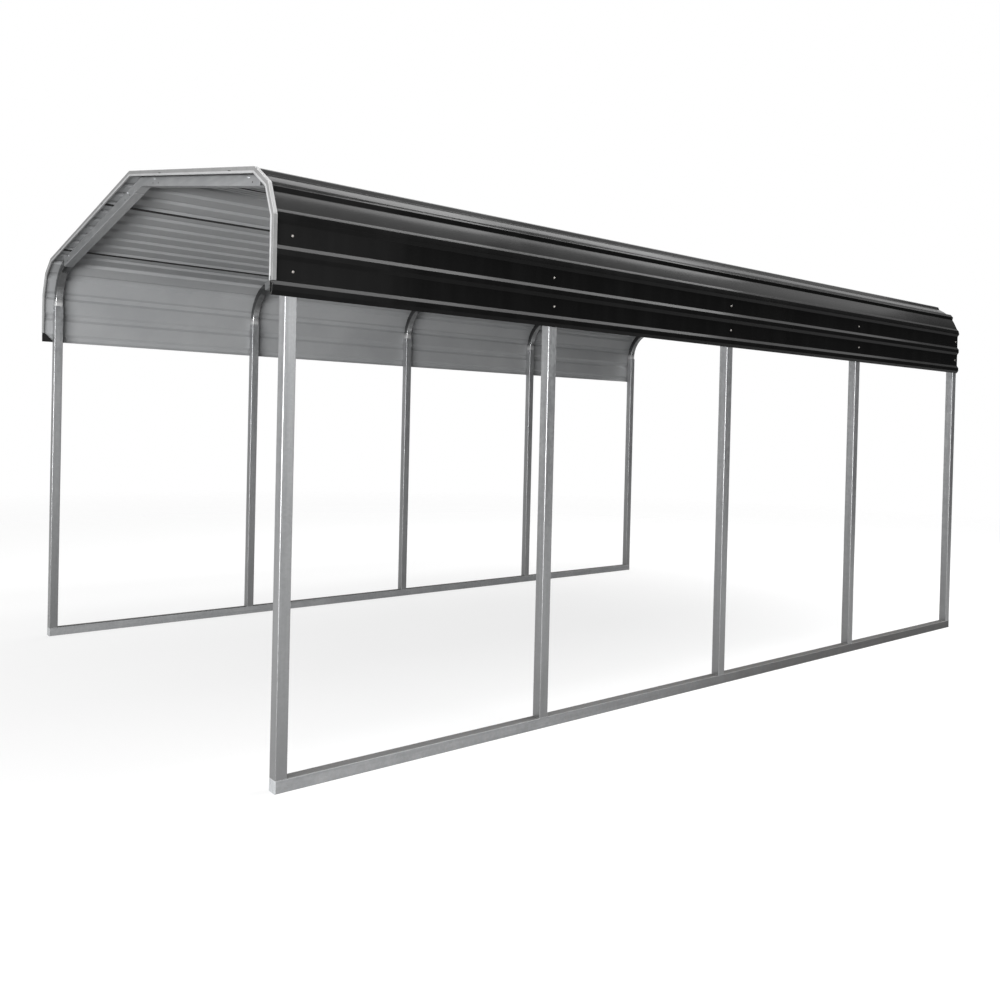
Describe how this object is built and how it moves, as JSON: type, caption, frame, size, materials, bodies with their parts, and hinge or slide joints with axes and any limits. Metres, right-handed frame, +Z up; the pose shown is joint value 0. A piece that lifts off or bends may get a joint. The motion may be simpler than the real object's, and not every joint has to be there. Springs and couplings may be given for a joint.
{
  "type": "carport",
  "caption": "Open carport of square steel tube bows on base rails, under black ribbed steel sheets that wrap over both eaves, for parking a vehicle out of the weather.",
  "frame": {"origin": "on the ground under the middle of the roof, midway between the base rails", "axes": "+X across to the right seen from the front, +Y from the front gable to the back, +Z up"},
  "size_m": [3.6888, 6.1788, 2.9876],
  "materials": {
    "galvanised_tube": "hot-dip galvanised, satin, faint spangle",
    "insert_tube": "plain zinc-coated, darker and smoother than the frame tube",
    "roof_sheet": "satin black paint outside, grey primer inside",
    "bright_zinc": "bright zinc, on the rail ends and the screws",
    "gable_trim": "bright galvanised"
  },
  "bodies": {
    "root": {"bow_1_left_leg": "galvanised_tube", "bow_1_left_rafter": "galvanised_tube", "bow_1_left_bend": "insert_tube", "bow_1_right_leg": "galvanised_tube", "bow_1_right_rafter": "galvanised_tube", "bow_1_right_bend": "insert_tube", "bow_2_left_leg": "galvanised_tube", "bow_2_left_rafter": "galvanised_tube", "bow_2_left_bend": "insert_tube", "bow_2_right_leg": "galvanised_tube", "bow_2_right_rafter": "galvanised_tube", "bow_2_right_bend": "insert_tube", "bow_3_left_leg": "galvanised_tube", "bow_3_left_rafter": "galvanised_tube", "bow_3_left_bend": "insert_tube", "bow_3_right_leg": "galvanised_tube", "bow_3_right_rafter": "galvanised_tube", "bow_3_right_bend": "insert_tube", "bow_4_left_leg": "galvanised_tube", "bow_4_left_rafter": "galvanised_tube", "bow_4_left_bend": "insert_tube", "bow_4_right_leg": "galvanised_tube", "bow_4_right_rafter": "galvanised_tube", "bow_4_right_bend": "insert_tube", "bow_5_left_leg": "galvanised_tube", "bow_5_left_rafter": "galvanised_tube", "bow_5_left_bend": "insert_tube", "bow_5_right_leg": "galvanised_tube", "bow_5_right_rafter": "galvanised_tube", "bow_5_right_bend": "insert_tube", "left_base_rail": "galvanised_tube", "left_base_pins": "insert_tube", "left_rail_caps": "bright_zinc", "left_slope_sheet": "roof_sheet", "left_eave_sheet": "roof_sheet", "front_left_trim": "gable_trim", "right_base_rail": "galvanised_tube", "right_base_pins": "insert_tube", "right_rail_caps": "bright_zinc", "right_slope_sheet": "roof_sheet", "right_eave_sheet": "roof_sheet", "front_right_trim": "gable_trim", "ridge_inserts": "insert_tube", "ridge_sheet": "roof_sheet"}
  },
  "joints": []
}
